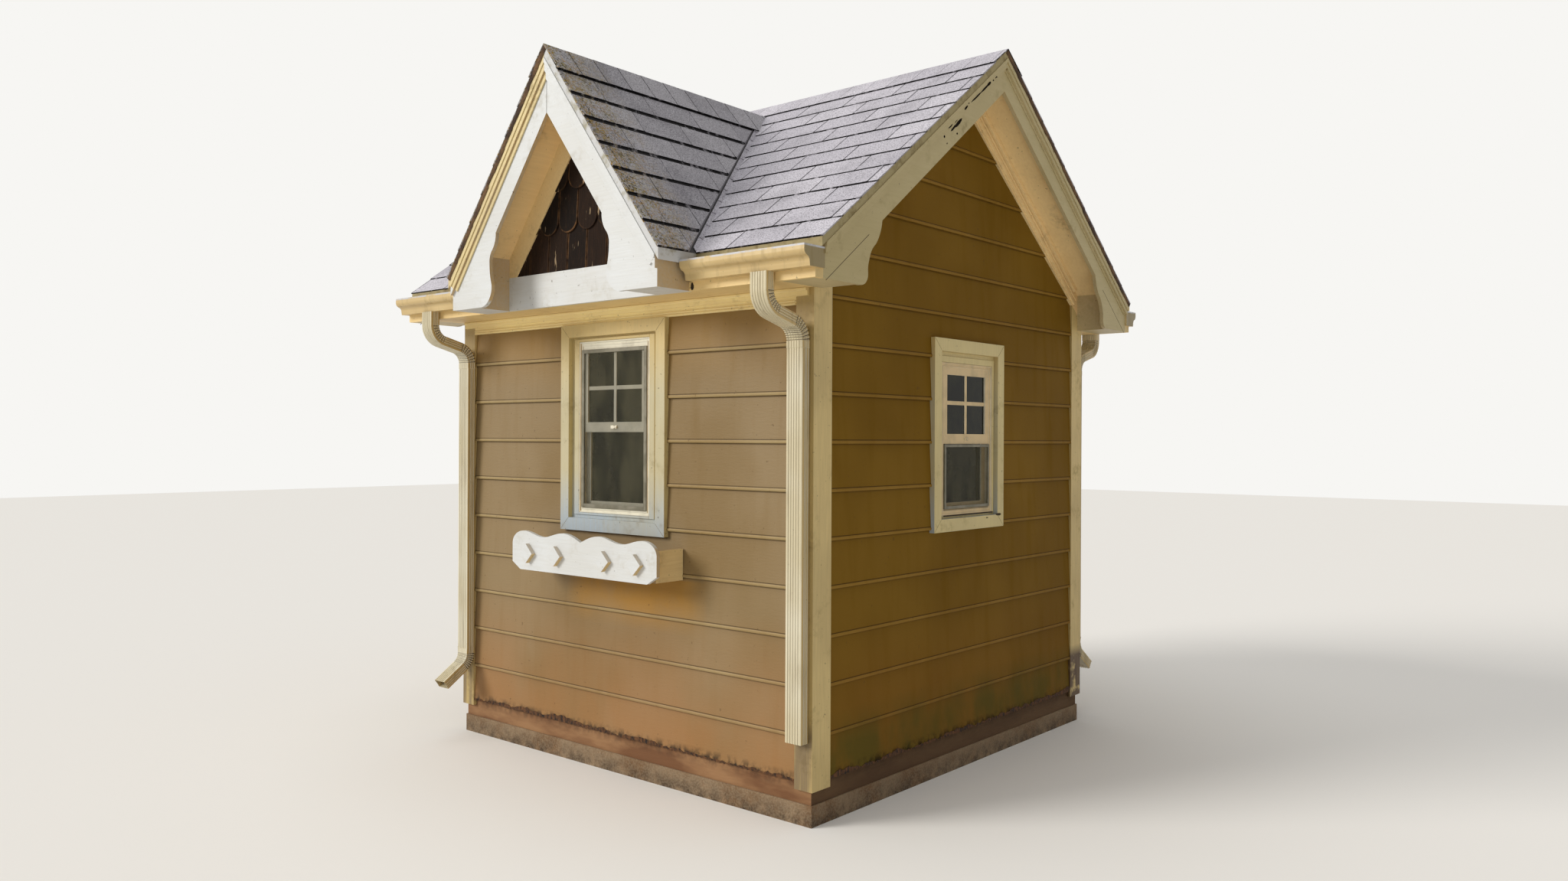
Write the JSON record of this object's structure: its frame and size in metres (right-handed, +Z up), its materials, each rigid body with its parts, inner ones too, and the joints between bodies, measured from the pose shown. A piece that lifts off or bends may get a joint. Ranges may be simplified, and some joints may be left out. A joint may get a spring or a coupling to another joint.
{
  "type": "well house",
  "caption": "Small square well house with a main gable roof, a steeper front gable, scroll-cut eave returns, gutters and a flower box.",
  "frame": {"origin": "on the ground under the middle of the building, at the underside of its slab", "axes": "+X to the right along the front, +Y from the front to the back, +Z up"},
  "size_m": [2.86, 3.179, 3.4796],
  "materials": {
    "concrete": "weathered concrete",
    "siding": "faded tan paint on wood",
    "trim": "cream paint, peeling",
    "shingles": "mineral granules",
    "brown_shingles": "dark stained wood",
    "gutter_paint": "almond paint, stained",
    "vinyl": "white vinyl",
    "glass": "clear",
    "door_paint": "cream paint",
    "knob_metal": "dull brass"
  },
  "bodies": {
    "root": {"foundation_slab": "concrete", "front_wall": "siding", "back_wall": "siding", "left_wall": "siding", "right_wall": "siding", "sill_boards": "trim", "corner_boards": "trim", "eave_friezes": "trim", "rake_friezes": "trim", "front_gable_trim": "trim", "front_gable_tie_board": "trim", "bargeboards_left": "trim", "bargeboards_right": "trim", "bargeboards_front": "trim", "scroll_returns_left": "trim", "scroll_returns_right": "trim", "scroll_returns_front": "trim", "eave_soffits": "trim", "rake_soffits": "trim", "fascia_front": "trim", "fascia_back": "trim", "eave_ledges": "trim", "window_casings": "trim", "door_casing": "trim", "flower_box_floor": "trim", "flower_box_ends": "trim", "flower_box_front": "trim", "main_roof_front_left": "shingles", "main_roof_front_right": "shingles", "main_roof_back": "shingles", "front_roof_left": "shingles", "front_roof_right": "shingles", "main_ridge_cap": "shingles", "front_ridge_cap": "shingles", "front_gable_panel": "brown_shingles", "gutters_front": "gutter_paint", "gutter_back": "gutter_paint", "downspout_front_left": "gutter_paint", "downspout_front_right": "gutter_paint", "downspout_back_left": "gutter_paint", "downspout_back_right": "gutter_paint", "window_sashes": "vinyl", "window_glass": "glass", "back_door": "door_paint", "door_knob": "knob_metal"}
  },
  "joints": []
}
